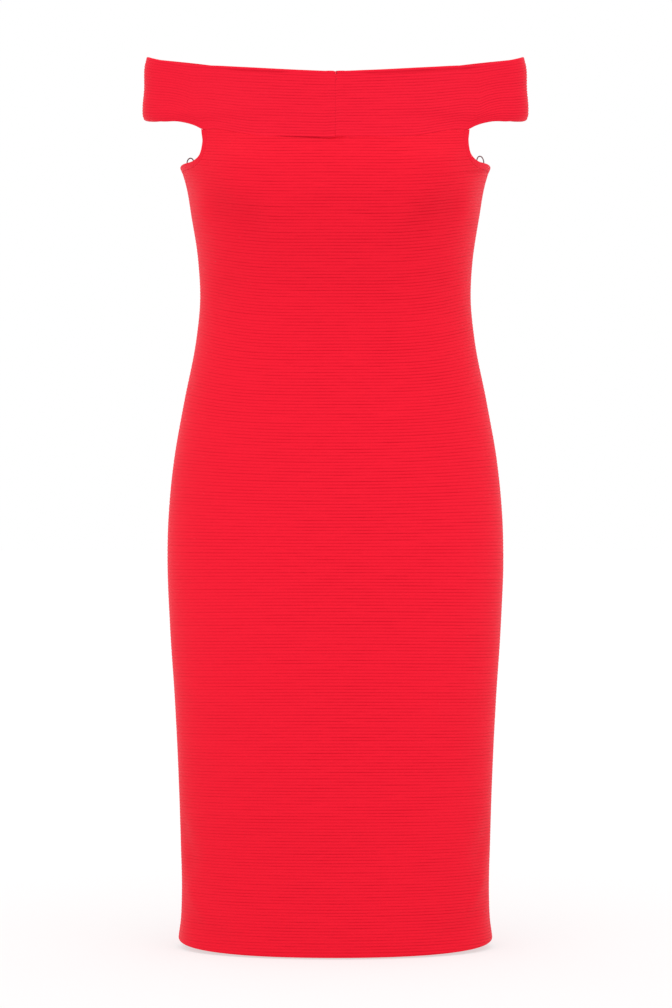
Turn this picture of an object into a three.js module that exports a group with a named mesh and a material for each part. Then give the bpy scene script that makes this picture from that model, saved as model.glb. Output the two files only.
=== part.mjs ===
// An off-the-shoulder bodycon dress in rippled stretch knit, hollow and filled out as it is when worn.
// Millimetres, +Z up. The front faces -Y, and left and right are the wearer's, so the left is +X.
// The origin is on the middle line, level with the tops of the side seams.
import * as THREE from 'three';

// ---- Driving dimensions ------------------------------------------------------------------------

const SEAM_GAP = 0.3; // between neighbouring pieces
const PANEL_WALL = 1.8; // one layer of rippled knit
const HEM_WALL = 3; // the hem is turned up, so it is two layers
const HEM_DEPTH = 20;
const BAND_WALL = 2.8; // folded double along its top edge
const BINDING_WIDTH = 6.5;
const BINDING_WALL = 2.4;
const BINDING_PROUD = 0.3; // how far the binding stands out from the panels

const SIDE_SEAM = 90; // degrees round the body from the centre front
const CENTRE_BACK = 180;
const ARMHOLE_TOP = -1.9; // the underarm edge at the side seam
const SIDE_HEM = -794;

const PANEL_COLUMNS = 26;
const PANEL_ROWS = 19; // below the armholes and above the turned-up hem
const SLEEVE_COLUMNS = 20; // from armhole corner to armhole corner
const BAND_ROWS = [0, 0.08, 0.5, 0.9, 1]; // shares of the way down, closer where the edges curl in
const BINDING_ROWS = 2;

// Outlines are [height or degrees, size] pairs, joined by smooth curves.

// Half the width across the front, from the hem up to the top of the sleeves.
const halfWidth = smooth([
  [-802, 162], [-793, 161.5], [-776, 159.3], [-750, 158.2], [-694, 159.4], [-612, 162.2],
  [-550, 165.4], [-468, 170.7], [-396, 173], [-350, 171.2], [-303, 166.3], [-241, 155.4],
  [-179, 143.3], [-138, 139.4], [-97, 141.4], [-55, 147.8], [-14, 155.6], [0, 160.4],
  [10, 165.3], [20, 172.3], [32, 182.4], [42, 189.4], [47, 193], [52, 197.8], [58, 198.8],
  [78, 197.3], [103, 196.6], [113, 194.4],
]);

// From the middle of the body forwards: hem, belly, waist, bust and neckline.
const frontDepth = smooth([
  [-802, 106], [-700, 101], [-550, 107], [-396, 112], [-280, 109], [-200, 104], [-138, 103],
  [-95, 114], [-65, 124], [-38, 130], [-12, 128], [18, 121], [50, 116], [84, 111], [113, 105],
]);

// From the middle of the body backwards: hem, seat, waist and shoulder blades.
const backDepth = smooth([
  [-802, 108], [-720, 107], [-620, 112], [-520, 122], [-440, 133], [-385, 136], [-330, 129],
  [-260, 112], [-190, 93], [-138, 85], [-90, 90], [-40, 99], [20, 102], [60, 101], [113, 97],
]);

// How much a section is fuller (above 0) or flatter towards its sides (below 0) than an ellipse.
const frontFullness = smooth([
  [-802, 0.04], [-250, 0.05], [-138, 0.08], [-60, 0.2], [-30, 0.2], [0, 0.06], [18, -0.2],
  [32, -0.43], [50, -0.6], [113, -0.62],
]);
const backFullness = smooth([
  [-802, 0.04], [-520, 0.1], [-385, 0.16], [-250, 0.08], [-138, 0.05], [-40, 0.14], [0, 0.04],
  [18, -0.18], [32, -0.4], [50, -0.56], [113, -0.58],
]);
// How much the ends of a section are rounded out again, where the upper arms fill the band.
const endRoundness = smooth([[-2, 0], [32, 0.25], [50, 0.41], [113, 0.42]]);
const END_POWER = 8; // high, so that only the ends change

// The band's lower edge: centre front, armhole corner, under the arm, armhole corner, centre back.
const FRONT_CORNER = 48.4;
const BACK_CORNER = 136.5;
const bandBottom = smooth([
  [0, 17.2], [20, 19], [28, 20.8], [34.5, 25], [42, 30], [FRONT_CORNER, 31.8], [49.8, 34.5],
  [53, 38], [56.5, 40.2], [67, 41.7], [77, 43.5], [SIDE_SEAM, 46], [103, 46.9], [110, 48],
  [117, 50.2], [124, 52], [130, 52], [BACK_CORNER, 48.6], [150, 46], [CENTRE_BACK, 43],
]);
const bandTop = smooth([
  [0, 84.7], [9, 86.1], [30, 92.8], [36, 95], [45, 97.6], [64, 105.2], [SIDE_SEAM, 112.3],
  [103, 112.5], [127, 111.6], [150, 109], [CENTRE_BACK, 106.5],
]);

// The armhole's edge, as degrees round the body and height, from the front corner to the back one.
const ARMHOLE = [
  [FRONT_CORNER, 31.5], [50.2, 24.9], [51.9, 18.8], [55.6, 9.6], [58.5, 4.4], [62.5, 1],
  [67, -0.8], [78, -1.2], [SIDE_SEAM, ARMHOLE_TOP], [102, -1.4], [112, 0], [118, 3],
  [122, 8], [126, 16], [130, 28], [134, 40], [BACK_CORNER, 48.3],
];

// How far a course of the knit climbs from the middle of a panel to its side seam.
const frontRise = smooth([
  [SIDE_HEM, 8], [-770, 0], [-700, -2], [-550, -4], [-406, -1], [-344, 4.4], [-290, 9],
  [-241, 13.5], [-200, 15.5], [-8, 16],
]);
const backRise = smooth([[SIDE_HEM, 2], [-500, 2], [-200, 6], [-8, 8]]);
const RISE_POWER = 3;

// The hanger loops: a narrow tape sewn inside each side seam, standing up at the underarm.
const LOOP_THICK = 1.2;
const LOOP_FOOT_Z = -16;
const LOOP_LEFT = { footX: 150.6, topX: 148.7, topZ: 10.1 };
const LOOP_RIGHT = { footX: 149.4, topX: 149.2, topZ: 8.1 };
// Across, towards the back, and up as a share of the way from the foot to the top.
const LOOP_ROUTE = [
  [0.9, -1.7, 0], [1.6, -1.6, 0.18], [2.5, -1.4, 0.36], [3.2, -1.2, 0.54], [3.6, -0.9, 0.71],
  [3.3, -0.6, 0.85], [2.1, -0.3, 0.955], [0, 0, 1], [-2.1, 0.3, 0.955], [-3.3, 0.6, 0.85],
  [-3.6, 0.9, 0.71], [-3.2, 1.2, 0.54], [-2.5, 1.4, 0.36], [-1.6, 1.6, 0.18], [-0.9, 1.7, 0],
];
const LOOP_SIDES = 8;
const LOOP_STEPS = 20;

const CLOTH_RED = '#f32136';
const BAND_RED = '#f3253b';
const BINDING_RED = '#ec2038';
const LOOP_GREY = '#8d5a60';

// ---- Curves and the filled-out form --------------------------------------------------------------

// A smooth curve through [x, value] keys: cubic pieces that share their slopes, level at both ends.
function smooth(keys) {
  const slope = (i) => (keys[i + 1][1] - keys[i][1]) / (keys[i + 1][0] - keys[i][0]);
  const width = (i) => keys[i + 1][0] - keys[i][0];
  const last = keys.length - 1;
  const slopes = keys.map((key, i) => {
    if (i === 0 || i === last) return 0;
    return (slope(i) * width(i - 1) + slope(i - 1) * width(i)) / (width(i - 1) + width(i));
  });
  return (x) => {
    if (x <= keys[0][0]) return keys[0][1];
    if (x >= keys[last][0]) return keys[last][1];
    const i = keys.findIndex((key) => key[0] > x) - 1;
    const w = width(i);
    const t = (x - keys[i][0]) / w;
    const u = 1 - t;
    return u * u * (1 + 2 * t) * keys[i][1] + t * t * (1 + 2 * u) * keys[i + 1][1]
      + t * u * w * (u * slopes[i] - t * slopes[i + 1]);
  };
}

// The point of the cloth's outside at a turn in degrees from the centre front, and a height.
function onForm(turn, z) {
  const angle = THREE.MathUtils.degToRad(turn);
  const side = Math.sin(angle);
  const ahead = Math.cos(angle);
  const depth = ahead > 0 ? frontDepth(z) : backDepth(z);
  const fullness = ahead > 0 ? frontFullness(z) : backFullness(z);
  const swell = 1 + fullness * side ** 2 + endRoundness(z) * side ** END_POWER;
  return new THREE.Vector3(halfWidth(z) * side, -depth * ahead * swell, z);
}

// The form's two directions at a point, for one degree of turn and one millimetre of height.
function alongForm(turn, z) {
  const round = onForm(turn + 0.5, z).sub(onForm(turn - 0.5, z));
  const up = onForm(turn, z + 0.5).sub(onForm(turn, z - 0.5));
  return { round, up, out: round.clone().cross(up).normalize() };
}

// ---- Cloth pieces ---------------------------------------------------------------------------------

// A wall of cloth from rows of [turn, height] points, top row first and turning the same way in each.
// wallAt gives its thickness at a height; proud moves it out; shift makes room for a seam.
function clothWall(rows, wallAt, proud, shift) {
  const outside = [];
  const inside = [];
  for (const row of rows) {
    for (const [turn, z] of row) {
      const { out } = alongForm(turn, z);
      const point = onForm(turn, z).add(shift).addScaledVector(out, proud);
      outside.push(point);
      inside.push(point.clone().addScaledVector(out, -wallAt(z)));
    }
  }
  const columns = rows[0].length;
  const inner = outside.length;
  const faces = [];
  const quad = (a, b, c, d) => faces.push(a, b, c, a, c, d);
  for (let i = 0; i < rows.length - 1; i += 1) {
    for (let j = 0; j < columns - 1; j += 1) {
      const a = i * columns + j;
      const below = a + columns;
      quad(a, below, below + 1, a + 1);
      quad(inner + a, inner + a + 1, inner + below + 1, inner + below);
    }
  }
  const rim = (a, b) => quad(a, b, inner + b, inner + a);
  const lastRow = (rows.length - 1) * columns;
  for (let j = 0; j < columns - 1; j += 1) {
    rim(j, j + 1);
    rim(lastRow + j + 1, lastRow + j);
  }
  for (let i = 0; i < rows.length - 1; i += 1) {
    rim((i + 1) * columns, i * columns);
    rim((i + 1) * columns - 1, (i + 2) * columns - 1);
  }
  const geometry = new THREE.BufferGeometry().setFromPoints([...outside, ...inside]);
  geometry.setIndex(faces);
  geometry.computeVertexNormals();
  return geometry;
}

const steps = (count) => Array.from({ length: count + 1 }, (_, i) => i / count);
const mix = (a, b, share) => a + (b - a) * share;

const armholeCurve = new THREE.SplineCurve(ARMHOLE.map(([turn, z]) => new THREE.Vector2(turn, z)));

// A point of the left armhole's edge, moved into the cloth by a distance, as [turn, height].
function byArmhole(share, distance) {
  const before = armholeCurve.getPoint(Math.max(0, share - 0.01));
  const after = armholeCurve.getPoint(Math.min(1, share + 0.01));
  const { x: turn, y: z } = armholeCurve.getPoint(share);
  const { round, up, out } = alongForm(turn, z);
  const along = onForm(after.x, after.y).sub(onForm(before.x, before.y)).normalize();
  const into = along.cross(out);
  const [rr, ru, uu] = [round.dot(round), round.dot(up), up.dot(up)];
  const [r, u] = [into.dot(round), into.dot(up)];
  const area = rr * uu - ru * ru;
  const newTurn = turn + (distance * (r * uu - u * ru)) / area;
  const newZ = z + (distance * (u * rr - r * ru)) / area;
  return [newTurn, Math.min(newZ, bandBottom(newTurn) - SEAM_GAP)];
}

// A front or back panel, bodice and skirt in one. edge holds its [turn, height] points down one
// armhole, measured from the panel's own middle, and the side seam carries on from the last of them.
function panel(edge, middle, centreTop, rise, shift) {
  const [, seamTop] = edge[edge.length - 1];
  const hemTop = SIDE_HEM + HEM_DEPTH;
  const armholeRows = edge.map(([reach, z], i) => {
    const low = seamTop - rise(seamTop);
    return { reach, side: z, centre: mix(centreTop, low, i / (edge.length - 1)) };
  });
  const seamHeights = steps(PANEL_ROWS).slice(1).map((share) => mix(seamTop, hemTop, share));
  const seamRows = [...seamHeights, hemTop - 3, SIDE_HEM].map((z) => (
    { reach: SIDE_SEAM, side: z, centre: z - rise(z) }
  ));
  const rows = [...armholeRows, ...seamRows].map(({ reach, side, centre }, i) => (
    steps(PANEL_COLUMNS).map((share) => {
      const across = 2 * share - 1;
      const turn = middle + across * reach;
      const round = Math.abs(turn > CENTRE_BACK ? 2 * CENTRE_BACK - turn : turn);
      const course = mix(centre, side, Math.abs(across) ** RISE_POWER);
      return [turn, i === 0 ? bandBottom(round) - SEAM_GAP : course];
    })
  ));
  const wall = (z) => (z < hemTop - 1 ? HEM_WALL : PANEL_WALL);
  return clothWall(rows, wall, 0, shift);
}

function frontPanel() {
  const edge = steps(8).map((share) => byArmhole(share / 2, BINDING_WIDTH + SEAM_GAP));
  const shift = new THREE.Vector3(0, -SEAM_GAP / 2, 0);
  return panel(edge, 0, bandBottom(0) - SEAM_GAP, frontRise, shift);
}

function backPanel() {
  const edge = steps(8).map((share) => {
    const [turn, z] = byArmhole(1 - share / 2, BINDING_WIDTH + SEAM_GAP);
    return [CENTRE_BACK - turn, z];
  });
  const shift = new THREE.Vector3(0, SEAM_GAP / 2, 0);
  return panel(edge, CENTRE_BACK, bandBottom(CENTRE_BACK) - SEAM_GAP, backRise, shift);
}

// Rows of points on the left, turned over to the right when side is -1.
function onSide(rows, side) {
  if (side > 0) return rows;
  return rows.map((row) => row.map(([turn, z]) => [-turn, z]).reverse());
}

// The turns of a band half's columns, which are those of the panels' top rows where they meet.
function bandTurns() {
  const [frontReach] = byArmhole(0, BINDING_WIDTH + SEAM_GAP);
  const [backReach] = byArmhole(1, BINDING_WIDTH + SEAM_GAP);
  const stretches = [
    [0, frontReach, PANEL_COLUMNS / 2],
    [frontReach, FRONT_CORNER, 1],
    [FRONT_CORNER, BACK_CORNER, SLEEVE_COLUMNS],
    [BACK_CORNER, backReach, 1],
    [backReach, CENTRE_BACK, PANEL_COLUMNS / 2],
  ];
  return [0, ...stretches.flatMap(([from, to, count]) => (
    steps(count).slice(1).map((share) => mix(from, to, share))
  ))];
}

// Half of the band, from the centre front round the arm to the centre back.
function bandHalf(side) {
  const turns = bandTurns();
  const rows = BAND_ROWS.map((down) => (
    turns.map((turn) => [turn, mix(bandTop(turn), bandBottom(turn), down)])
  ));
  const shift = new THREE.Vector3((side * SEAM_GAP) / 2, 0, 0);
  return clothWall(onSide(rows, side), () => BAND_WALL, 0, shift);
}

// The strip that binds an armhole, from the front end of the sleeve's opening to the back end.
function armholeBinding(side) {
  const rows = steps(BINDING_ROWS).map((across) => (
    steps(ARMHOLE.length - 1).map((share) => byArmhole(share, across * BINDING_WIDTH))
  ));
  return clothWall(onSide(rows, side), () => BINDING_WALL, BINDING_PROUD, new THREE.Vector3());
}

// A hanger loop, as a thin round tape along its route.
function hangerLoop(side, ends) {
  const route = LOOP_ROUTE.map(([across, back, up]) => {
    const x = mix(ends.footX, ends.topX, up) + across;
    return new THREE.Vector3(side * x, back, mix(LOOP_FOOT_Z, ends.topZ, up));
  });
  const corners = steps(LOOP_SIDES).slice(1).map((share) => {
    const angle = share * 2 * Math.PI;
    return new THREE.Vector2(Math.cos(angle), Math.sin(angle)).multiplyScalar(LOOP_THICK / 2);
  });
  return new THREE.ExtrudeGeometry(new THREE.Shape(corners), {
    extrudePath: new THREE.CatmullRomCurve3(route),
    steps: LOOP_STEPS,
    bevelEnabled: false,
  });
}

// ---- The dress ------------------------------------------------------------------------------------

const dress = new THREE.Group();

function add(name, geometry, color, roughness) {
  const material = new THREE.MeshStandardMaterial({ color, roughness, metalness: 0 });
  const mesh = new THREE.Mesh(geometry, material);
  mesh.name = name;
  dress.add(mesh);
}

add('front_panel', frontPanel(), CLOTH_RED, 0.85);
add('back_panel', backPanel(), CLOTH_RED, 0.85);
for (const [name, side, loopEnds] of [['left', 1, LOOP_LEFT], ['right', -1, LOOP_RIGHT]]) {
  add(`band_${name}`, bandHalf(side), BAND_RED, 0.85);
  add(`armhole_binding_${name}`, armholeBinding(side), BINDING_RED, 0.8);
  add(`hanger_loop_${name}`, hangerLoop(side, loopEnds), LOOP_GREY, 0.5);
}

export default dress;
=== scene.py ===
"""An off-the-shoulder bodycon dress in rippled stretch knit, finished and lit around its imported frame.

Cloth is worked out in millimetres and kept in metres. The front faces -Y, and left and right are
the wearer's, so the left is +X. A place on the dress is a turn in degrees round the body from the
centre front, towards the left, and a height.
"""

import math

import bpy
import numpy as np
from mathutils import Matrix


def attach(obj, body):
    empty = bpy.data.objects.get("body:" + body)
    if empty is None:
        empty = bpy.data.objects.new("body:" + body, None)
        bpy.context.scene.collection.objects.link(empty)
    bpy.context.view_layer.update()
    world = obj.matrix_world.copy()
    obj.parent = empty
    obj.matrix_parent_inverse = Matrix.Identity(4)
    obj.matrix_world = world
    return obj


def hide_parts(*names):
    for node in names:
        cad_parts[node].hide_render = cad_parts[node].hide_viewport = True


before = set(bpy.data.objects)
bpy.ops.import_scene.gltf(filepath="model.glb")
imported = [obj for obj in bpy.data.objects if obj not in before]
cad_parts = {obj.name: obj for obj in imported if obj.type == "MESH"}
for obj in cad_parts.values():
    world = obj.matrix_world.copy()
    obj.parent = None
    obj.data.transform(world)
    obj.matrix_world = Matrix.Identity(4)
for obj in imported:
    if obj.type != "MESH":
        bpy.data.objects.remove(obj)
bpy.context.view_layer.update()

# ---- Sizes of the cloth, in millimetres -----------------------------------------------------------

SEAM_GAP = 0.06  # where the band is sewn on; side seams are drawn closed
PANEL_WALL = 1.8
HEM_WALL = 3.0
HEM_DEPTH = 20.0
HEM_FOLD = 1.45  # radius of the hem's folded edge
BAND_WALL = 2.8
BAND_FOLD = BAND_WALL / 2 - 0.05
BAND_HEIGHT = 66
BINDING_WIDTH = 6.5
BINDING_LENGTH = 290
BINDING_WALL = 2.4
BINDING_FOLD = BINDING_WALL / 2 - 0.05
BINDING_PROUD = 0.3
RIB_DEPTH = 0.34
SEWN_DEPTH = 0.4  # how deep a sewn edge dips where nothing else is said
FRONT_CORNER = 48.4
BACK_CORNER = 136.5
SIDE_HEM = -794.0
SEAM_EDGES = (0.0, 0.35, 0.9, 1.7)  # rows laid beside a sewn edge, by their distance from it
HEM_EDGES = (0.0, 0.12, 0.45, 1.0, 1.7)  # the same beside a folded edge
ROWS_PER_REPEAT = 8  # a repeat of the ripple is a pair of ribs
INNER_STEP = 8  # the inside keeps one row in this many


# ---- Curves and the filled-out form ---------------------------------------------------------------

def smooth(keys):
    """A curve through [x, value] keys: cubic Hermite pieces that share the slope at each key, a
    weighted mean of the slopes beside it, level at both ends and constant beyond them."""
    x, y = np.array(keys, float).T
    width = np.diff(x)
    slope = np.diff(y) / width
    slopes = np.zeros_like(x)
    slopes[1:-1] = (slope[1:] * width[:-1] + slope[:-1] * width[1:]) / (width[:-1] + width[1:])

    def at(value):
        value = np.clip(value, x[0], x[-1])
        i = np.clip(np.searchsorted(x, value, side="right") - 1, 0, len(width) - 1)
        t = (value - x[i]) / width[i]
        u = 1 - t
        ends = u * u * (1 + 2 * t) * y[i] + t * t * (1 + 2 * u) * y[i + 1]
        return ends + t * u * width[i] * (u * slopes[i] - t * slopes[i + 1])

    return at


half_width = smooth([
    [-802, 162], [-793, 161.5], [-776, 159.3], [-750, 158.2], [-694, 159.4], [-612, 162.2],
    [-550, 165.4], [-468, 170.7], [-396, 173], [-350, 171.2], [-303, 166.3], [-241, 155.4],
    [-179, 143.3], [-138, 139.4], [-97, 141.4], [-55, 147.8], [-14, 155.6], [0, 160.4],
    [10, 165.3], [20, 172.3], [32, 182.4], [41, 189.4], [45, 194.2], [48, 197.2], [52, 198.6],
    [58, 198.8], [78, 197.3], [103, 196.6], [113, 194.4],
])
front_depth = smooth([
    [-802, 106], [-700, 101], [-550, 107], [-396, 112], [-280, 109], [-200, 104], [-138, 103],
    [-95, 114], [-65, 124], [-38, 130], [-12, 128], [18, 121], [50, 116], [84, 111], [113, 105],
])
back_depth = smooth([
    [-802, 108], [-720, 107], [-620, 112], [-520, 122], [-440, 133], [-385, 136], [-330, 129],
    [-260, 112], [-190, 93], [-138, 85], [-90, 90], [-40, 99], [20, 102], [60, 101], [113, 97],
])
front_fullness = smooth([
    [-802, 0.04], [-250, 0.05], [-138, 0.08], [-60, 0.2], [-30, 0.2], [0, 0.06], [18, -0.2],
    [32, -0.43], [50, -0.6], [113, -0.62],
])
back_fullness = smooth([
    [-802, 0.04], [-520, 0.1], [-385, 0.16], [-250, 0.08], [-138, 0.05], [-40, 0.14], [0, 0.04],
    [18, -0.18], [32, -0.4], [50, -0.56], [113, -0.58],
])
end_roundness = smooth([[-2, 0], [32, 0.25], [50, 0.41], [113, 0.42]])
band_bottom = smooth([
    [0, 17.2], [20, 19], [28, 20.8], [34.5, 25], [42, 30], [FRONT_CORNER, 31.8], [49.8, 34.5],
    [53, 38], [56.5, 40.2], [67, 41.7], [77, 43.5], [90, 46], [103, 46.9], [110, 48],
    [117, 50.2], [124, 52], [130, 52], [BACK_CORNER, 48.6], [150, 46], [180, 43],
])
band_top = smooth([
    [0, 84.7], [9, 86.1], [30, 92.8], [36, 95], [45, 97.6], [64, 105.2], [90, 112.3],
    [103, 112.5], [127, 111.6], [150, 109], [180, 106.5],
])
ARMHOLE = np.array([
    [FRONT_CORNER, 31.5], [50.2, 24.9], [51.9, 18.8], [55.6, 9.6], [58.5, 4.4], [62.5, 1],
    [67, -0.8], [78, -1.2], [90, -1.9], [102, -1.4], [112, 0], [118, 3],
    [122, 8], [126, 16], [130, 28], [134, 40], [BACK_CORNER, 48.3],
])
front_climb = smooth([
    [-794, -1], [-770, -1], [-700, -2], [-550, -4], [-406, -1], [-344, 4.4], [-290, 9],
    [-241, 13.5], [-200, 15.5], [-8, 16],
])
back_climb = smooth([[-794, 1], [-500, 2], [-200, 6], [-8, 8]])
climb_power = smooth([[-420, 2], [-344, 2.1], [-282, 2.6], [-241, 3.4], [-200, 3.5]])
ripple_repeat = smooth([
    [-800, 6.05], [-700, 6.25], [-450, 6.49], [-300, 6.45], [-150, 6.3], [20, 6.28],
])


def on_form(turn, z):
    """The outside of the cloth: x is the half width times the turn's sine. y is the depth times its
    cosine, swollen by the fullness times sine squared and the roundness times sine to the 8th."""
    angle = np.radians(turn)
    side, ahead = np.sin(angle), np.cos(angle)
    front = ahead > 0
    depth = np.where(front, front_depth(z), back_depth(z))
    fullness = np.where(front, front_fullness(z), back_fullness(z))
    swell = 1 + fullness * side**2 + end_roundness(z) * side**8
    z = np.broadcast_to(z, side.shape)
    return np.stack([half_width(z) * side, -depth * ahead * swell, z], axis=-1)


def along_form(turn, z):
    """The form's steps for one degree of turn and one millimetre of height, and its unit normal."""
    around = on_form(turn + 0.5, z) - on_form(turn - 0.5, z)
    up = on_form(turn, z + 0.5) - on_form(turn, z - 0.5)
    out = np.cross(around, up)
    return around, up, out / np.linalg.norm(out, axis=-1, keepdims=True)


def through(points, share):
    """A Catmull-Rom curve through rows of numbers, at shares of its count of pieces."""
    points = np.asarray(points, float)
    spot = np.clip(np.asarray(share, float), 0, 1) * (len(points) - 1)
    i = np.minimum(spot.astype(int), len(points) - 2)
    t = (spot - i)[..., None]
    a, b, c, d = (points[np.clip(i + k, 0, len(points) - 1)] for k in (-1, 0, 1, 2))
    slope_b, slope_c = (c - a) / 2, (d - b) / 2
    return ((2 * b - 2 * c + slope_b + slope_c) * t**3
            + (3 * c - 3 * b - 2 * slope_b - slope_c) * t**2 + slope_b * t + b)


def by_armhole(share, distance):
    """Places on the left armhole's edge, moved into the cloth by a distance: the step square to the
    edge, in the form's surface, solved as so many degrees of turn and millimetres of height."""
    before, after = through(ARMHOLE, share - 0.01), through(ARMHOLE, share + 0.01)
    turn, z = np.moveaxis(through(ARMHOLE, share), -1, 0)
    around, up, out = along_form(turn, z)
    along = on_form(after[..., 0], after[..., 1]) - on_form(before[..., 0], before[..., 1])
    along /= np.linalg.norm(along, axis=-1, keepdims=True)
    into = np.cross(along, out)
    aa, au, uu = ((p * q).sum(-1) for p, q in ((around, around), (around, up), (up, up)))
    a, u = (into * around).sum(-1), (into * up).sum(-1)
    area = aa * uu - au * au
    turn = turn + distance * (a * uu - u * au) / area
    z = z + distance * (u * aa - a * au) / area
    return turn, np.minimum(z, band_bottom(turn) - SEAM_GAP)


def ease(x):
    """0 below 0, 1 above 1, and a smooth step 3x^2 - 2x^3 between them."""
    x = np.clip(x, 0, 1)
    return x * x * (3 - 2 * x)


def mix(a, b, share):
    return a + (b - a) * share


def drift(a, b, reach, seed):
    """Slow random change over a surface, about -1 to 1: eight sine waves of random direction, phase
    and length, about reach long, added up."""
    rng = np.random.default_rng(seed)
    total = 0
    for _ in range(8):
        angle, phase = rng.uniform(0, math.pi), rng.uniform(0, 2 * math.pi)
        pace = 2 * math.pi / (reach * rng.uniform(0.6, 1.7))
        total = total + np.sin((a * math.cos(angle) + b * math.sin(angle)) * pace + phase)
    return total / 4


# ---- Relief of the knit ---------------------------------------------------------------------------

def groove(phase, width):
    """A bell-shaped groove, 1 deep, at each whole number of phase."""
    return np.exp(-(((phase - np.round(phase)) / width) ** 2))


def ripple(phase, across, depth, seed):
    """The ribs' height: minus a groove at each whole phase, and minus a shallower one halfway, both
    growing and fading slowly along their length."""
    strength = 1 + 0.3 * drift(across, phase * 40, 260, seed)
    halfway = 0.62 + 0.2 * drift(across, phase * 30, 200, seed + 1)
    return -depth * strength * (groove(phase, 0.1) + halfway * groove(phase - 0.5, 0.1))


def sewn_dip(distance, depth=SEWN_DEPTH, reach=1.5):
    """How far the cloth dips beside a seam: depth times the square of the share of reach left."""
    return depth * np.clip(1 - distance / reach, 0, 1) ** 2


def folded_edge(distance, radius):
    """How far a folded edge curls in from its flat face: a quarter circle of that radius."""
    left = np.clip(radius - distance, 0, radius)
    return radius - np.sqrt(radius**2 - left**2)


def soft_folds(folds, turn, z):
    """Soft troughs (below 0) and ridges (above 0): each runs straight between two places, as
    [turn, z, turn, z, width, height], bell-shaped across and fading out along its last thirds."""
    total = np.zeros_like(z)
    pace = 2.3  # millimetres to a degree, about
    for turn_a, z_a, turn_b, z_b, width, height in folds:
        run, rise = (turn_b - turn_a) * pace, z_b - z_a
        length = math.hypot(run, rise)
        a, b = (turn - turn_a) * pace, z - z_a
        along = (a * run + b * rise) / length**2
        aside = (a * rise - b * run) / length
        ends = ease(along * 3) * ease((1 - along) * 3)
        total += height * np.exp(-((aside / width) ** 2)) * ends
    return total


# ---- Making meshes --------------------------------------------------------------------------------

def mesh_piece(name, vertices, faces, knit=None):
    """A smooth-shaded mesh in metres from points in millimetres, riding on the dress. knit is kept
    at each vertex: millimetres across, repeats of the ripple, and painted shade in a crease, trough or
    seam, 0 to 1."""
    mesh = bpy.data.meshes.new(name)
    used = np.unique(np.concatenate([f.ravel() for f in faces if isinstance(f, np.ndarray)]
                                    + [np.array(f) for f in faces if isinstance(f, list)]))
    place = np.zeros(len(vertices), int)
    place[used] = np.arange(len(used))
    sides = []
    for face in faces:
        sides += [place[face].tolist()] if isinstance(face, list) else place[face].tolist()
    mesh.from_pydata((vertices[used] / 1000).tolist(), [], sides)
    if knit is not None:
        kept = mesh.attributes.new("knit", "FLOAT_VECTOR", "POINT")
        kept.data.foreach_set("vector", knit[used].astype(np.float32).ravel())
    mesh.polygons.foreach_set("use_smooth", np.ones(len(mesh.polygons), bool))
    mesh.update()
    piece = bpy.data.objects.new(name, mesh)
    bpy.context.scene.collection.objects.link(piece)
    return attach(piece, "root")


def grid_faces(index):
    """Four-sided faces of a grid of vertex numbers, top row first, turned outwards where a row runs
    with the turn. Where a column's rows share a vertex, faces become triangles or go."""
    a, b, c, d = index[:-1, :-1], index[1:, :-1], index[1:, 1:], index[:-1, 1:]
    quads = np.stack([a, b, c, d], axis=-1).reshape(-1, 4)
    left, right = quads[:, 0] == quads[:, 1], quads[:, 2] == quads[:, 3]
    return [quads[~left & ~right], quads[left & ~right][:, [0, 2, 3]], quads[right & ~left][:, :3]]


def cloth(name, outer, inner, knit, rows, first=None, last=None):
    """A closed sheet of cloth from an outer and an inner grid of points, top row first. The inner
    side keeps only the numbered rows. Between columns' first and last rows lies the cloth, and the
    rows outside them share one vertex. Faces of many sides join the two at both ends of the rows."""
    count, columns = outer.shape[:2]
    row = np.arange(count)[:, None]
    index = row * columns + np.arange(columns)
    rows = np.array(rows)
    low = count * columns + np.arange(len(rows))[:, None] * columns + np.arange(columns)
    if first is not None:
        body = (row >= len(SEAM_EDGES) - 1) & (row <= count - len(HEM_EDGES))
        held = np.clip(row, first - 1, last + 1)
        index = np.where(body, held * columns + np.arange(columns), index)
        step = np.arange(len(rows))[:, None]
        inside = body[rows]
        top = np.searchsorted(rows, first - 1, side="right") - 1
        bottom = np.searchsorted(rows, last + 1, side="left")
        kept = np.clip(step, top, bottom)
        low = np.where(inside, count * columns + kept * columns + np.arange(columns), low)
    faces = grid_faces(index) + [f[:, ::-1] for f in grid_faces(low)]
    faces.append(np.stack([index[0, :-1], index[0, 1:], low[0, 1:], low[0, :-1]], axis=-1))
    faces.append(np.stack([index[-1, 1:], index[-1, :-1], low[-1, :-1], low[-1, 1:]], axis=-1))
    for k in range(len(rows) - 1):
        span = slice(rows[k], rows[k + 1] + 1)
        left = index[span, 0][::-1].tolist() + [low[k, 0], low[k + 1, 0]]
        right = index[span, -1].tolist() + [low[k + 1, -1], low[k, -1]]
        for ring in (left, right):
            ring = list(dict.fromkeys(ring))
            if len(ring) > 2 and low[k, 0] != low[k + 1, 0]:
                faces.append(ring)
    vertices = np.concatenate([outer.reshape(-1, 3), inner[rows].reshape(-1, 3)])
    values = np.concatenate([knit.reshape(-1, 3), knit[rows].reshape(-1, 3)])
    return mesh_piece(name, vertices, faces, values)


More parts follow.
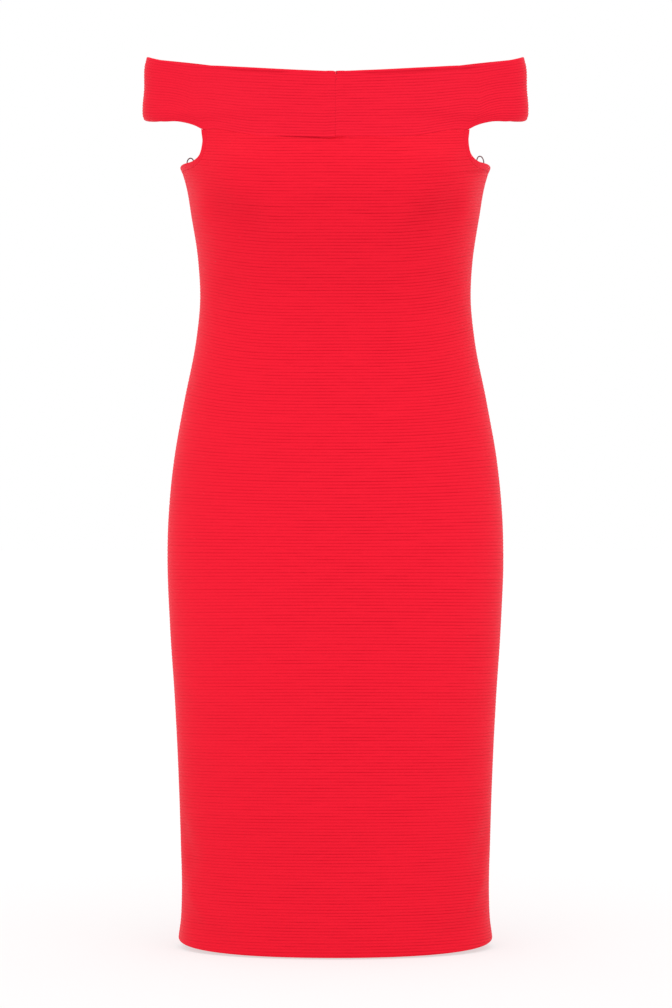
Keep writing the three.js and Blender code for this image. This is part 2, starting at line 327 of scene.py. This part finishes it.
def tube(route, radius, sides):
    """A round tube on a route: rings of points, each square to the route and turned from the way
    across it to the back, and its faces."""
    ahead = np.gradient(route, axis=0)
    ahead /= np.linalg.norm(ahead, axis=1, keepdims=True)
    level = np.cross(ahead, [0.0, 1.0, 0.0])
    level /= np.linalg.norm(level, axis=1, keepdims=True)
    other = np.cross(ahead, level)
    angle = np.linspace(0, 2 * math.pi, sides + 1)[:-1]
    rings = (route[:, None] + radius * np.cos(angle)[:, None] * level[:, None]
             + radius * np.sin(angle)[:, None] * other[:, None])
    index = np.arange(rings.shape[0] * sides).reshape(rings.shape[:2])
    faces = [f[:, ::-1] for f in grid_faces(np.hstack([index, index[:, :1]]))]
    faces += [index[0][::-1].tolist(), index[-1].tolist()]
    return rings.reshape(-1, 3), faces


# ---- Camera ---------------------------------------------------------------------------------------

CAMERA_DISTANCE = 3.6
VIEW_HEIGHT = 1.038  # what the frame takes in, top to bottom, at the middle of the dress

camera = bpy.data.objects.new("camera", bpy.data.cameras.new("camera"))
bpy.context.scene.collection.objects.link(camera)
camera.location = (0.0006, -CAMERA_DISTANCE, -0.348)
camera.rotation_euler = (math.pi / 2, 0, 0)
camera.data.sensor_width = 36
camera.data.lens = 36 * CAMERA_DISTANCE / VIEW_HEIGHT
bpy.context.scene.camera = camera

# ---- Hanger loops ---------------------------------------------------------------------------------

LOOP_THICK = 1.2
LOOP_FEET = {"left": 150.6, "right": 149.4}
LOOP_FOOT_Z = -16
LOOP_TOPS = {"left": (148.7, 10.1), "right": (149.2, 8.1)}
LOOP_ROUTE = np.array([
    [0.9, -1.7, 0], [1.6, -1.6, 0.18], [2.5, -1.4, 0.36], [3.2, -1.2, 0.54], [3.6, -0.9, 0.71],
    [3.3, -0.6, 0.85], [2.1, -0.3, 0.955], [0, 0, 1], [-2.1, 0.3, 0.955], [-3.3, 0.6, 0.85],
    [-3.6, 0.9, 0.71], [-3.2, 1.2, 0.54], [-2.5, 1.4, 0.36], [-1.6, 1.6, 0.18], [-0.9, 1.7, 0],
])


def hanger_loop(which):
    """A thin tape up from inside the side seam and back: a round tube on a smooth curve through the
    route's places, which lean from the foot's x to the top's and rise by shares of its height."""
    side = 1 if which == "left" else -1
    top_x, top_z = LOOP_TOPS[which]
    across, back, up = LOOP_ROUTE.T
    x = side * (mix(LOOP_FEET[which], top_x, up) + across)
    keys = np.stack([x, back, mix(LOOP_FOOT_Z, top_z, up)], axis=-1)
    route = through(keys, np.linspace(0, 1, 85))
    points, faces = tube(route, LOOP_THICK / 2, 12)
    piece = mesh_piece(f"{which}_hanger_loop", points, faces)
    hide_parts(f"hanger_loop_{which}")
    route = route / 1000
    return piece


loops = [hanger_loop("left"), hanger_loop("right")]

# ---- Front and back -------------------------------------------------------------------------------

PANEL_HALF = 235  # from the middle of a panel to its side seam, about
TROUGH_SHADE = 0.035  # painted shade for each millimetre of a trough's depth
FRONT_FOLDS = [
    [58, -716, 82, -668, 16, -1.6], [-60, -724, -84, -664, 17, -1.8],
    [52, -776, 78, -716, 9, 1.2], [-50, -782, -76, -730, 10, 1.2],
    [34, -792, 70, -758, 11, -1.5], [-34, -794, -70, -768, 11, -1.5],
    [24, -74, 64, -38, 20, -3.4], [-24, -74, -64, -38, 20, -3.4],
    [20, 2, 56, 6, 20, 1.5], [-20, 2, -56, 6, 20, 1.5],
    [40, -108, 66, -150, 15, -0.8], [-40, -108, -66, -150, 15, -0.8],
    [58, -236, 84, -206, 9, -0.5], [-60, -246, -84, -214, 9, -0.5],
]
BACK_FOLDS = [
    [20, -130, 74, -112, 8, -1.0], [-14, -142, -70, -124, 9, -1.1],
    [10, -172, 62, -160, 9, -0.9], [-24, -184, -72, -168, 9, -0.8],
    [-30, -214, 28, -218, 12, -0.7], [34, -478, 66, -520, 15, -0.9],
    [-34, -478, -66, -520, 15, -0.9], [56, -740, 82, -690, 16, -0.9],
    [-58, -736, -84, -694, 16, -0.9],
]


def seam_depth(turn):
    """How deep the band's seam is drawn in: deepest a little to the right of the centre front."""
    return 0.12 + 0.6 * np.exp(-(((turn + 11) / 8) ** 4))


def seam_step(turn):
    """How far the band's two halves miss each other at the centre front, up on the left."""
    return 0.7 * np.tanh(turn / 1.5) * np.exp(-((turn / 12) ** 2))


def seam_shade(turn, distance):
    """Painted shade in the band's seam: a soft dark line within a millimetre and where the seam is deep.
    """
    return (seam_depth(turn) - 0.1) * np.exp(-((distance / 0.9) ** 2))


def panel(name, middle, edge_shares, climb, centre_hem, folds, seed):
    """A front or back, bodice and skirt in one. Rows follow the ribs: height is the rib's height at
    the middle plus the climb times the sine of the turn to a power. The band's seam and the hem cut
    across them, and rows end on the armhole's binding or the side seam."""
    edge_turn, edge_z = by_armhole(edge_shares, BINDING_WIDTH + SEAM_GAP)
    edge_turn = edge_turn if middle == 0 else 180 - edge_turn

    def rib_of(turn, z):
        return z - climb(z) * np.sin(np.radians(np.abs(turn))) ** climb_power(z)

    edge_rib = rib_of(edge_turn, edge_z)
    fine = np.linspace(-803, edge_rib[0] + 3, 4000)
    repeats = np.concatenate([[0], np.cumsum(np.diff(fine) / ripple_repeat(fine[1:]))])
    phases = np.arange(math.floor(repeats[-1] * ROWS_PER_REPEAT), -1, -1) / ROWS_PER_REPEAT
    ribs = np.interp(phases, repeats, fine)[:, None]
    reach = np.interp(-ribs, -edge_rib, edge_turn, left=edge_turn[0], right=90)

    spread = np.concatenate([np.linspace(0, 1, 33)[1:-1], [0.006, 0.014]])
    ends = 1 - np.array(SEAM_EDGES) / PANEL_HALF
    half = np.sort(np.concatenate([spread, ends]))
    share = np.concatenate([-half[::-1], [0], half])
    turn = share * reach
    sine = np.abs(np.sin(np.radians(turn)))
    z = np.broadcast_to(ribs, turn.shape)
    for _ in range(5):
        z = ribs + climb(z) * sine ** climb_power(z)

    def top_at(turn):
        joined = band_bottom(np.abs(turn)) if middle == 0 else band_bottom(180 - np.abs(turn))
        return joined - SEAM_GAP + (seam_step(turn) if middle == 0 else 0)

    hem = mix(centre_hem, SIDE_HEM, np.abs(share) ** 3)
    above = z > top_at(turn) - SEAM_EDGES[-1]
    below = z < hem + HEM_EDGES[-1]
    first = above.sum(0)
    last = len(z) - 1 - below.sum(0)
    z = np.clip(z, hem + HEM_EDGES[-1], top_at(turn) - SEAM_EDGES[-1])
    columns = np.arange(turn.shape[1])
    top_turn = turn[first - 1, columns]
    top_rows = [top_at(top_turn) - d for d in SEAM_EDGES[:-1]]
    low_rows = [hem + d for d in HEM_EDGES[-2::-1]]
    z = np.concatenate([top_rows, z, low_rows])
    turn = np.concatenate([[top_turn] * len(top_rows), turn, [share * 90] * len(low_rows)])
    first, last = first + len(top_rows), last + len(top_rows)

    rib = rib_of(turn, z)
    phase = np.interp(rib, fine, repeats)
    round_turn = middle + turn
    around, _, out = along_form(round_turn, z)
    pace = np.linalg.norm(around, axis=-1)
    across = turn * pace
    from_side = (np.abs(turn).max(1, keepdims=True) - np.abs(turn)) * pace
    from_top = top_at(turn) - z
    from_hem = z - hem
    dents = soft_folds(folds, turn, z)
    relief = dents + ripple(phase, across, RIB_DEPTH, seed) * ease(from_hem / 4 - 0.3)
    relief += 0.22 * drift(across, z, 90, seed + 5) * ease(from_side / 15)
    joined = seam_depth(turn) if middle == 0 else 0.3
    bound = mix(SEWN_DEPTH, 0.12, ease((rib + 14) / 8))
    sewn = (sewn_dip(from_top) * joined / SEWN_DEPTH
            + sewn_dip(from_side) * bound / SEWN_DEPTH)
    curl = folded_edge(from_hem, HEM_FOLD)
    lift = relief - sewn - curl
    wall = mix(HEM_WALL, PANEL_WALL, ease((from_hem - HEM_DEPTH) / 2 + 0.5))
    sink = dents - wall + curl
    point = on_form(round_turn, z)
    outer = point + out * lift[..., None]
    inner = point + out * sink[..., None]
    inner[0] = point[0] + out[0] * (lift[0] - 1.0)[:, None]
    # painted shade in the soft troughs, and below along the band's seam
    shade = TROUGH_SHADE * np.maximum(-dents, 0)
    if middle == 0:
        shade += 0.35 * seam_shade(turn, from_top)
    knit = np.stack([across, phase, shade], axis=-1)
    count = len(z)
    rows = sorted({0, 3, count - 1, count - 3, count - 5, *range(3, count - 5, INNER_STEP)})
    piece = cloth(name, outer, inner, knit, rows, first, last)
    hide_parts(f"{name}_panel")
    return piece


shares = np.linspace(0, 0.5, 120)
front = panel("front", 0, shares, front_climb, -802.0, FRONT_FOLDS, 11)
back = panel("back", 180, 1 - shares, back_climb, -796.0, BACK_FOLDS, 23)

# ---- Band -----------------------------------------------------------------------------------------

BAND_REPEAT = 5.67
RIDGE_HALF = 8.4  # the centre front seam's turnings are pressed open under the cloth
FRONT_CREASES = {
    "left": [[6, 3.5], [22, 4.6], [40, 4.2], [50, 2.0]],
    "right": [[12, 3.4], [24, 4.4], [38, 3.6]],
}


def band_columns(end):
    """Turns of a half's columns: close together at the centre front, then 3.6 mm apart to the
    seam at the back, which lies a little to one side of the middle."""
    near = np.array([0, 0.35, 0.9, 1.7, 2.8, 4.2, 5.8, 7, 8, 9, 10.2, 12, 14.5]) / 2.03
    fine = np.linspace(near[-1], end, 3000)
    around, _, _ = along_form(fine, mix(band_top(fine), band_bottom(fine), 0.5))
    run = np.cumsum(np.linalg.norm(around, axis=-1)) * (fine[1] - fine[0])
    far = np.interp(np.arange(3.6, run[-1] - 2, 3.6), run, fine)
    close = end - np.array([1.7, 0.9, 0.35, 0]) / 1.9
    return np.concatenate([near, far, close])


def band_half(which, seed):
    """Half of the band. A place is a column's turn and a share of the way down from the folded top
    edge to the lower edge, and the ribs keep parallel to both."""
    side = 1 if which == "left" else -1
    end = 180 - 0.3 * side
    turn = band_columns(end)[None, :]
    height = band_top(turn) - band_bottom(turn)
    repeats = BAND_HEIGHT / BAND_REPEAT
    edges = np.array(HEM_EDGES)
    body = np.arange(2.4, 63.6, BAND_REPEAT / ROWS_PER_REPEAT)
    down = np.concatenate([edges, body, (BAND_HEIGHT - edges)[::-1]])[:, None] / BAND_HEIGHT
    joined = 1 - ease((turn - FRONT_CORNER + 1.5) / 3) * (1 - ease((turn - BACK_CORNER + 1.5) / 3))
    across_front = np.sin(np.radians(turn)) * half_width(50)
    notch = 0.6 * np.exp(-((across_front / 1.3) ** 2)) * (turn < 90)
    top = band_top(turn) - notch
    bottom = band_bottom(turn) + seam_step(side * turn)
    z = mix(top, bottom, down)
    turn = np.broadcast_to(turn, z.shape)
    signed = side * turn
    around, _, out = along_form(signed, z)
    pace = np.linalg.norm(around, axis=-1)
    across = signed * pace
    from_middle = turn * pace
    from_back = (end - turn) * pace
    from_top, from_bottom = top - z, z - bottom
    phase = down * repeats
    relief = ripple(np.broadcast_to(phase, z.shape), across, RIB_DEPTH, seed)
    relief *= 1 + 0.7 * np.exp(-(((turn - 90) / 14) ** 2))
    relief *= ease(from_top / 3 - 0.5) * ease(from_bottom / 3 - 0.5)
    relief += 0.25 * drift(across, z, 70, seed + 5)
    ridge = 0.8 * (1 - ease((from_middle - RIDGE_HALF + 1.2) / 2.4))
    keys = np.array(FRONT_CREASES[which])
    line = np.interp(turn, keys[:, 0], keys[:, 1])
    ends = ease((turn - keys[0, 0]) / 5) * ease((keys[-1, 0] - turn) / 8)
    crease = -1.0 * ends * np.exp(-(((from_top - line) / 1.1) ** 2))
    low_crease = -0.5 * np.exp(-(((from_bottom - 3.2) / 1.6) ** 2)) * (side < 0) * (turn < 30)
    low_crease = low_crease * ease((30 - turn) / 10)
    sewn = sewn_dip(from_bottom) * joined * seam_depth(signed) / SEWN_DEPTH
    free = folded_edge(from_bottom, BAND_FOLD) * (1 - joined)
    curl = folded_edge(from_top, BAND_FOLD)
    ends_dip = sewn_dip(from_back)
    lift = relief + ridge + crease + low_crease - sewn - free - curl - ends_dip
    sink = curl + free - BAND_WALL
    point = on_form(signed, z) + np.array([side * SEAM_GAP / 4, 0, 0])
    outer = point + out * lift[..., None]
    inner = point + out * sink[..., None]
    # painted shade along the creases under the top edge and in the band's seam
    shade = 0.27 * ends * np.exp(-(((from_top - line) / 1.0) ** 2))
    shade += joined * seam_shade(signed, from_bottom)
    knit = np.stack([across, np.broadcast_to(phase, z.shape), shade], axis=-1)
    count = len(down)
    rows = sorted({0, 1, 2, 4, *range(4, count - 5, INNER_STEP), count - 5, count - 3, count - 2,
                   count - 1})
    if side < 0:
        outer, inner, knit = outer[:, ::-1], inner[:, ::-1], knit[:, ::-1]
    piece = cloth(f"{which}_band", outer, inner, knit, rows)
    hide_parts(f"band_{which}")
    return piece


bands = [band_half("left", 41), band_half("right", 41)]

# ---- Neckline tack --------------------------------------------------------------------------------

TACK = [[(1.2, 84.2), (1.3, 82.6), (1.2, 80.6)], [(1.0, 76.6), (1.15, 76.1), (1.1, 75.6)]]
THREAD = 0.5


def tack_stitch(name, places):
    """A stitch over the centre front seam: a thread on a curve through its places, arched out of
    the cloth between its ends by a half sine."""
    share = np.linspace(0, 1, 17)
    x, z = through(places, share).T
    turn = np.degrees(np.arcsin(x / half_width(z)))
    _, _, out = along_form(turn, z)
    lift = 0.55 + 0.5 * np.sin(math.pi * share)
    points, faces = tube(on_form(turn, z) + out * lift[:, None], THREAD / 2, 8)
    return mesh_piece(name, points, faces)


stitches = [tack_stitch("upper_tack_stitch", TACK[0]), tack_stitch("lower_tack_stitch", TACK[1])]

# ---- Armhole bindings -----------------------------------------------------------------------------


def binding(which, seed):
    """The strip that binds an armhole, from corner to corner: rows step from the open edge into the
    cloth, and its face is a low dome, folded at the open edge and sewn down at the other."""
    side = 1 if which == "left" else -1
    distance = np.array([0, 0.12, 0.45, 1.0, 1.7, 2.6, 3.6, 4.6, 5.3, 5.8, 6.2, 6.5])[:, None]
    share = np.linspace(0, 1, 161)[None, :]
    share, distance = np.broadcast_arrays(share, distance)
    turn, z = by_armhole(share, distance)
    signed = side * turn
    _, _, out = along_form(signed, z)
    along = share * BINDING_LENGTH
    curl = folded_edge(distance, BINDING_FOLD)
    dome = 0.25 * np.sin(np.pi * distance / BINDING_WIDTH)
    proud = BINDING_PROUD * (1 - distance / BINDING_WIDTH)
    lift = proud + dome + 0.12 * drift(along, distance, 22, seed) - curl
    lift -= sewn_dip(BINDING_WIDTH - distance, 0.12, 1.2)
    sink = BINDING_PROUD - BINDING_WALL + curl
    point = on_form(signed, z)
    outer = point + out * lift[..., None]
    inner = point + out * sink[..., None]
    knit = np.stack([along, distance / 3.0, np.zeros_like(along)], axis=-1)
    if side < 0:
        outer, inner, knit = outer[:, ::-1], inner[:, ::-1], knit[:, ::-1]
    piece = cloth(f"{which}_armhole_binding", outer, inner, knit, range(len(distance)))
    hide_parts(f"armhole_binding_{which}")
    return piece


bindings = [binding("left", 71), binding("right", 83)]

# ---- Finishes -------------------------------------------------------------------------------------


class Value:
    """A number on a node's socket. Sums and products of values add Math nodes."""

    def __init__(self, finish, socket):
        self.finish, self.socket = finish, socket

    def math(self, operation, *others):
        return self.finish.math(operation, self, *others)

    def __add__(self, other):
        return self.math("ADD", other)

    __radd__ = __add__

    def __mul__(self, other):
        return self.math("MULTIPLY", other)

    __rmul__ = __mul__

    def __sub__(self, other):
        return self.math("SUBTRACT", other)

    def __rsub__(self, other):
        return self.finish.math("SUBTRACT", other, self)

    def __pow__(self, other):
        return self.math("POWER", other)


class Finish:
    """A material in the making, with one method that adds any node."""

    def __init__(self, name):
        self.material = bpy.data.materials.new(name)
        self.material.use_nodes = True
        self.material.node_tree.nodes.clear()

    def node(self, kind, settings=None, values=None, output=0):
        made = self.material.node_tree.nodes.new(kind)
        for name, setting in (settings or {}).items():
            setattr(made, name, setting)
        for socket, value in (values or {}).items():
            if isinstance(value, Value):
                self.material.node_tree.links.new(value.socket, made.inputs[socket])
            else:
                made.inputs[socket].default_value = value
        return Value(self, made.outputs[output])

    def math(self, operation, *values):
        return self.node("ShaderNodeMath", {"operation": operation}, dict(enumerate(values)))

    def blend(self, share, a, b):
        return self.node("ShaderNodeMix", {"data_type": "RGBA"}, {0: share, 6: a, 7: b}, 2)

    def place(self, x, y, z=0.0):
        return self.node("ShaderNodeCombineXYZ", None, {0: x, 1: y, 2: z})

    def noise(self, place, scale, detail=2.0, roughness=0.5):
        values = {"Vector": place, "Scale": scale, "Detail": detail, "Roughness": roughness}
        return self.node("ShaderNodeTexNoise", None, values)

    def surface(self, **sockets):
        shader = self.node("ShaderNodeBsdfPrincipled", None, sockets)
        out = self.material.node_tree.nodes.new("ShaderNodeOutputMaterial")
        self.material.node_tree.links.new(shader.socket, out.inputs["Surface"])
        return self.material


LOWER_SHADE_RED = (0.72, 0.006, 0.022, 1)  # painted shade: the cloth is blended towards this darker red down the skirt


def knit_finish(name, red, shadow, light, groove_shade_red, rib_shade, weave):
    """Rippled knit: painted shade in the grooves, by their own strength along each rib, painted shade in
    creases, troughs and seams and darker down the skirt, a slow change of tone, and stitches and fuzz as
    bump."""
    finish = Finish(name)
    knit = finish.node("ShaderNodeAttribute", {"attribute_name": "knit"}, None, "Vector")
    # crease is the painted shade of creases, troughs and seams, kept in knit
    across, phase, crease = (
        Value(finish, finish.node("ShaderNodeSeparateXYZ", None, {0: knit}).socket.node.outputs[i])
        for i in range(3)
    )
    here = finish.node("ShaderNodeTexCoord", None, None, "Object")
    height = finish.node("ShaderNodeSeparateXYZ", None, {0: here}, "Z")
    line = (phase * 2.0).math("ROUND")
    strength = finish.noise(finish.place(across * 0.025, line * 1.37), 1.0, 4.0, 0.6)
    turn = (phase * (4 * math.pi)).math("COSINE")
    valley = (turn * 0.5 + 0.5) ** 5.0
    cloud = finish.noise(here, 7.0, 3.0)
    fine = finish.noise(finish.place(across * 0.08, phase * 1.1), 1.0, 4.0, 0.65)
    tone = finish.blend(cloud * 0.5 + fine * 0.5, shadow, light)
    body = finish.blend(0.5, red, tone)
    # painted shade: darker towards the bottom of the skirt
    low = height.math("MULTIPLY_ADD", -3.0, -1.5)
    body = finish.blend(low * 0.34, body, LOWER_SHADE_RED)
    aside = across * 0.0049 - 0.22
    nearer = (1.0 - aside * aside * 0.6).math("MAXIMUM", 0.4)
    uneven = (strength * 2.2 - 0.55).math("MAXIMUM", 0.1)
    # painted shade: grooves, creases, troughs and seams are blended towards a darker red
    colour = finish.blend(valley * uneven * nearer * rib_shade + crease, body, groove_shade_red)
    wales = (across * (2 * math.pi / 1.3)).math("SINE")
    courses = (phase * (14 * math.pi)).math("SINE")
    fuzz = finish.noise(here, 1600.0, 3.0, 0.6)
    nap = wales * courses * weave + fuzz
    bump = finish.node("ShaderNodeBump", None,
                       {"Strength": 0.35, "Distance": 0.0002, "Height": nap})
    rough = cloud * 0.1 + 0.78
    return finish.surface(**{
        "Base Color": colour, "Roughness": rough, "Normal": bump, "Specular IOR Level": 0.1,
        "Sheen Weight": 0.19, "Sheen Roughness": 0.35, "Sheen Tint": (1.0, 0.62, 0.66, 1.0),
    })


knit_red = knit_finish("rippled_knit", (0.9, 0.009, 0.031, 1), (0.81, 0.0065, 0.023, 1),
                       (0.96, 0.0125, 0.038, 1), (0.5, 0.0, 0.009, 1), 0.85, 0.5)
band_red = knit_finish("band_knit", (0.89, 0.0095, 0.034, 1), (0.81, 0.007, 0.026, 1),
                       (0.94, 0.014, 0.042, 1), (0.5, 0.0, 0.012, 1), 0.85, 0.5)
binding_red = knit_finish("binding_knit", (0.88, 0.009, 0.031, 1), (0.8, 0.007, 0.025, 1),
                          (0.94, 0.013, 0.039, 1), (0.6, 0.0, 0.014, 1), 0.2, 0.6)


def strand_finish(name, tone, edge):
    """A thin dull tape or thread, a little lighter and darker along its length."""
    finish = Finish(name)
    here = finish.node("ShaderNodeTexCoord", None, None, "Object")
    grain = finish.noise(here, 900.0, 2.0)
    colour = finish.blend(grain, tone, edge)
    bump = finish.node("ShaderNodeBump", None,
                       {"Strength": 0.3, "Distance": 0.0001, "Height": grain})
    return finish.surface(**{"Base Color": colour, "Roughness": 0.55, "Normal": bump})


grey_tape = strand_finish("grey_tape", (0.16, 0.1, 0.11, 1), (0.32, 0.2, 0.22, 1))
plum_tape = strand_finish("plum_tape", (0.1, 0.02, 0.035, 1), (0.22, 0.05, 0.075, 1))
thread_red = strand_finish("thread_red", (0.3, 0.004, 0.018, 1), (0.42, 0.008, 0.03, 1))
loops[0].data.materials.append(grey_tape)
loops[1].data.materials.append(plum_tape)
for piece in stitches:
    piece.data.materials.append(thread_red)
for piece in (front, back):
    piece.data.materials.append(knit_red)
for piece in bands:
    piece.data.materials.append(band_red)
for piece in bindings:
    piece.data.materials.append(binding_red)

# ---- Floor and light ------------------------------------------------------------------------------

floor_mesh = bpy.data.meshes.new("floor")
FLOOR_REACH = 30.0  # in metres, as the level is
FLOOR_LEVEL = -0.8035  # 1.5 mm below the hem at the centre front
corners = [(x * FLOOR_REACH, y * FLOOR_REACH, FLOOR_LEVEL)
           for x, y in ((-1, -1), (1, -1), (1, 1), (-1, 1))]
floor_mesh.from_pydata(corners, [], [(0, 1, 2, 3)])
floor = bpy.data.objects.new("floor", floor_mesh)
bpy.context.scene.collection.objects.link(floor)
pale = Finish("pale_floor")
floor_mesh.materials.append(pale.surface(**{
    "Base Color": (0.36, 0.36, 0.36, 1), "Roughness": 0.9, "Specular IOR Level": 0.0,
    "Emission Color": (1, 1, 1, 1), "Emission Strength": 0.6,
}))

world = bpy.data.worlds.new("studio")
bpy.context.scene.world = world
world.use_nodes = True
world.node_tree.nodes["Background"].inputs["Color"].default_value = (1, 1, 1, 1)
world.node_tree.nodes["Background"].inputs["Strength"].default_value = 1.0


def sunlight(name, strength, spread, tilt):
    """A wide soft light from far away: tilt is in degrees from overhead towards the front."""
    light = bpy.data.objects.new(name, bpy.data.lights.new(name, "SUN"))
    bpy.context.scene.collection.objects.link(light)
    light.data.energy = strength
    light.data.angle = math.radians(spread)
    light.rotation_euler = (math.radians(tilt), 0, 0)


sunlight("overhead", 0.55, 50, 22)
bpy.context.scene.view_settings.view_transform = "Standard"
